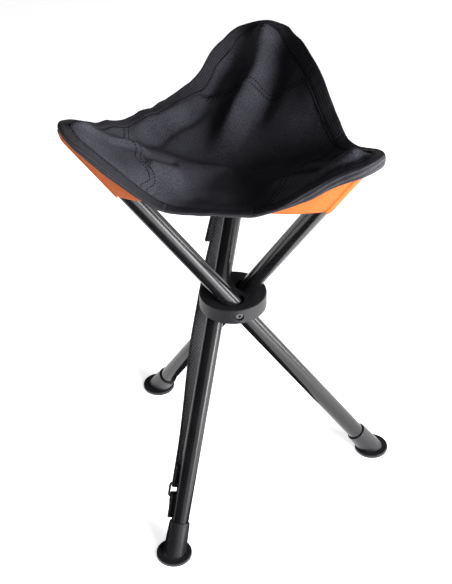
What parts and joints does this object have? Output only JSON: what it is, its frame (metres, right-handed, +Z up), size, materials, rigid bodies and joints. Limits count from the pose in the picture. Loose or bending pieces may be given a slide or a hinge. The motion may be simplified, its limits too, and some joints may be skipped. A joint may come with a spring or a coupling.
{
  "type": "folding tripod stool",
  "caption": "Folding stool with crossed tube legs that turn on a round hub, a hanging three-cornered cloth seat with pocketed corners, and a carry strap along one leg.",
  "frame": {"origin": "on the floor, in the middle of the stool's box", "axes": "+Z up; -Y towards the front edge of the seat; +X to the right seen from the front"},
  "size_m": [0.3312, 0.3547, 0.48],
  "materials": {
    "tube_coat": "gloss powder coat",
    "hub_plastic": "satin",
    "foot_plastic": "satin",
    "bush_plastic": "plain",
    "fastener": "dark plated",
    "insert_brass": "turned",
    "seat_cloth": "woven polyester",
    "binding_tape": "ribbed tape",
    "pocket_cloth": "woven polyester",
    "webbing": "twill webbing",
    "ring_wire": "satin"
  },
  "bodies": {
    "hub": {"hub_body": "hub_plastic", "pivot_screw_left": "fastener", "screw_insert_left": "insert_brass", "pivot_screw_back": "fastener", "screw_insert_back": "insert_brass", "pivot_screw_right": "fastener", "screw_insert_right": "insert_brass"},
    "seat": {"seat_panel": "seat_cloth", "edge_binding_front": "binding_tape", "edge_binding_left": "binding_tape", "edge_binding_right": "binding_tape"},
    "leg_left": {"leg_tube_left": "tube_coat", "pivot_bush_left": "bush_plastic", "top_plug_left": "foot_plastic", "foot_cap_left": "foot_plastic"},
    "corner_left": {"corner_panel_left": "seat_cloth", "corner_binding_left": "binding_tape", "leg_pocket_left": "pocket_cloth"},
    "leg_back": {"leg_tube_back": "tube_coat", "pivot_bush_back": "bush_plastic", "top_plug_back": "foot_plastic", "foot_cap_back": "foot_plastic", "carry_strap": "webbing", "strap_tail": "webbing", "strap_ring": "ring_wire", "strap_tab": "webbing", "tab_washer": "fastener", "tab_screw": "fastener"},
    "corner_back": {"corner_panel_back": "seat_cloth", "corner_binding_back": "binding_tape", "leg_pocket_back": "pocket_cloth"},
    "leg_right": {"leg_tube_right": "tube_coat", "pivot_bush_right": "bush_plastic", "top_plug_right": "foot_plastic", "foot_cap_right": "foot_plastic"},
    "corner_right": {"corner_panel_right": "seat_cloth", "corner_binding_right": "binding_tape", "leg_pocket_right": "pocket_cloth"}
  },
  "joints": [
    {"name": "fold_back", "type": "hinge", "parent": "hub", "child": "leg_back", "pos_m": [-0.02509, 0.00363, 0.238], "axis": [0.9947, -0.1024, 0], "range_deg": [0, 30], "deforming": ["seat_panel", "edge_binding_front", "edge_binding_left", "edge_binding_right", "corner_panel_left", "corner_binding_left", "leg_pocket_left", "corner_panel_back", "corner_binding_back", "leg_pocket_back", "corner_panel_right", "corner_binding_right", "leg_pocket_right"]},
    {"name": "fold_left", "type": "hinge", "parent": "hub", "child": "leg_left", "pos_m": [-0.00263, -0.01261, 0.238], "axis": [-0.4087, 0.9127, 0], "range_deg": [0, 30]},
    {"name": "fold_right", "type": "hinge", "parent": "hub", "child": "leg_right", "pos_m": [0.00021, 0.01495, 0.238], "axis": [-0.5861, -0.8102, 0], "range_deg": [0, 30]},
    {"name": "seat_rise", "type": "slide", "parent": "hub", "child": "seat", "axis": [0, 0, 1], "range_m": [0, 0.14]},
    {"name": "tuck_left", "type": "hinge", "parent": "seat", "child": "corner_left", "pos_m": [-0.24107, -0.11937, 0.168], "axis": [-0.4087, 0.9127, 0], "range_deg": [0, 30]},
    {"name": "tuck_back", "type": "hinge", "parent": "seat", "child": "corner_back", "pos_m": [0.00168, 0.2635, 0.168], "axis": [0.9947, -0.1024, 0], "range_deg": [0, 30]},
    {"name": "tuck_right", "type": "hinge", "parent": "seat", "child": "corner_right", "pos_m": [0.21188, -0.13816, 0.168], "axis": [-0.5861, -0.8102, 0], "range_deg": [0, 30]}
  ],
  "couplings": [
    {"joint": "fold_left", "follows": "fold_back", "ratio": 1},
    {"joint": "fold_right", "follows": "fold_back", "ratio": 1},
    {"joint": "seat_rise", "follows": "fold_back", "m_per_rad": 0.26738},
    {"joint": "tuck_left", "follows": "fold_back", "ratio": 1},
    {"joint": "tuck_back", "follows": "fold_back", "ratio": 1},
    {"joint": "tuck_right", "follows": "fold_back", "ratio": 1}
  ]
}
